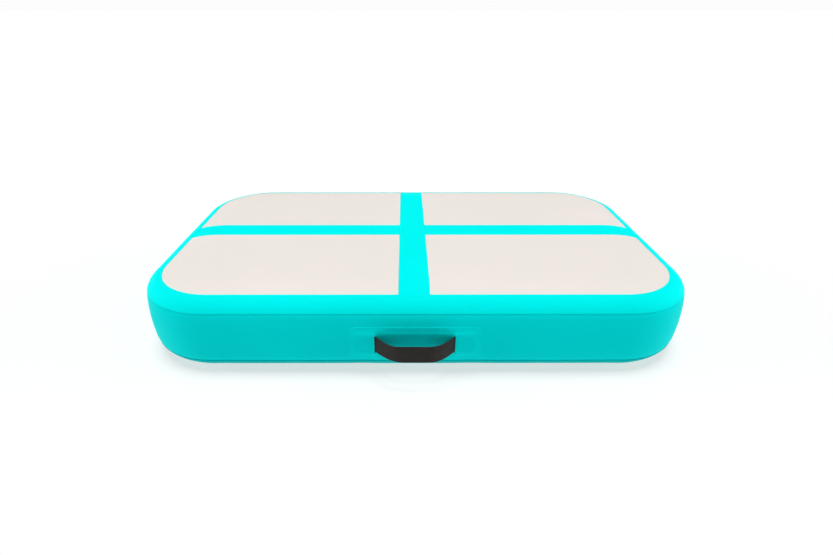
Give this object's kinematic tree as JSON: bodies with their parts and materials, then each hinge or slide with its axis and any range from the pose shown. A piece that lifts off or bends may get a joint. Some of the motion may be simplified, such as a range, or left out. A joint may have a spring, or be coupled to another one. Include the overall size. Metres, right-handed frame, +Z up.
{
  "type": "air track mat",
  "caption": "Small inflatable drop-stitch tumbling mat with rolled edges, a beige deck with cyan border and cross, cyan walls, webbing carry handles and a push-pin air valve.",
  "frame": {"origin": "middle of the underside, on the floor", "axes": "+X along the mat's length towards the valve, +Y to the rear long side, +Z up"},
  "size_m": [1.0101, 0.666, 0.15],
  "materials": {
    "deck_vinyl": "beige PVC coating, fine textile grain, satin",
    "band_vinyl": "bright cyan PVC coating, fine textile grain, satin",
    "wall_vinyl": "cyan PVC coating, fine textile grain, satin",
    "inner_cloth": "coated polyester base cloth",
    "yarn": "polyester yarn",
    "webbing": "black polypropylene webbing, plain weave",
    "thread": "cyan bonded sewing thread",
    "valve_plastic": "grey moulded plastic, fine spark texture",
    "valve_rubber": "black rubber",
    "spring_steel": "stainless spring wire"
  },
  "bodies": {
    "mat": {"top_face_cloth": "inner_cloth", "bottom_face_cloth": "inner_cloth", "drop_stitch_yarns": "yarn", "sidewall_inner_strip": "inner_cloth", "sidewall_outer_strip": "wall_vinyl", "sidewall_joint_strap": "wall_vinyl", "underside_sheet": "wall_vinyl", "upper_seam_tape": "band_vinyl", "lower_seam_tape": "wall_vinyl", "deck_panel_front_left": "deck_vinyl", "deck_panel_front_right": "deck_vinyl", "deck_panel_rear_left": "deck_vinyl", "deck_panel_rear_right": "deck_vinyl", "crosswise_stripe": "band_vinyl", "lengthwise_stripe_left": "band_vinyl", "lengthwise_stripe_right": "band_vinyl", "front_handle_base_patch": "wall_vinyl", "front_handle_ends": "webbing", "front_handle_cover_patch": "wall_vinyl", "front_handle_stitching": "thread", "rear_handle_base_patch": "wall_vinyl", "rear_handle_ends": "webbing", "rear_handle_cover_patch": "wall_vinyl", "rear_handle_stitching": "thread", "valve_patch": "wall_vinyl", "valve_body": "valve_plastic", "valve_gasket": "valve_rubber", "valve_nut": "valve_plastic", "valve_spring": "spring_steel", "valve_cap_ring": "valve_plastic", "valve_cap_strap": "valve_plastic"},
    "front_handle": {"front_handle_loop": "webbing"},
    "rear_handle": {"rear_handle_loop": "webbing"},
    "valve_pin": {"valve_stem": "valve_plastic", "valve_seal": "valve_rubber", "valve_poppet": "valve_plastic"},
    "cap": {"valve_cap": "valve_plastic", "valve_cap_seal": "valve_rubber"}
  },
  "joints": [
    {"name": "front_handle_swing", "type": "hinge", "parent": "mat", "child": "front_handle", "pos_m": [-0.003, -0.3, 0.0665], "axis": [-1, 0, 0], "range_deg": [-30, 30], "deforming": ["front_handle_ends"]},
    {"name": "rear_handle_swing", "type": "hinge", "parent": "mat", "child": "rear_handle", "pos_m": [-0.003, 0.3, 0.0665], "axis": [1, 0, 0], "range_deg": [-30, 30], "deforming": ["rear_handle_ends"]},
    {"name": "pin_press", "type": "slide", "parent": "mat", "child": "valve_pin", "axis": [-1, 0, 0], "range_m": [0, 0.005], "stiffness_N_per_m": 600, "springref_m": -0.004, "deforming": ["valve_spring"]},
    {"name": "cap_swing", "type": "hinge", "parent": "mat", "child": "cap", "pos_m": [0.504, 0.033, 0.075], "axis": [0, 0, 1], "range_deg": [0, 150], "deforming": ["valve_cap_strap"]}
  ]
}
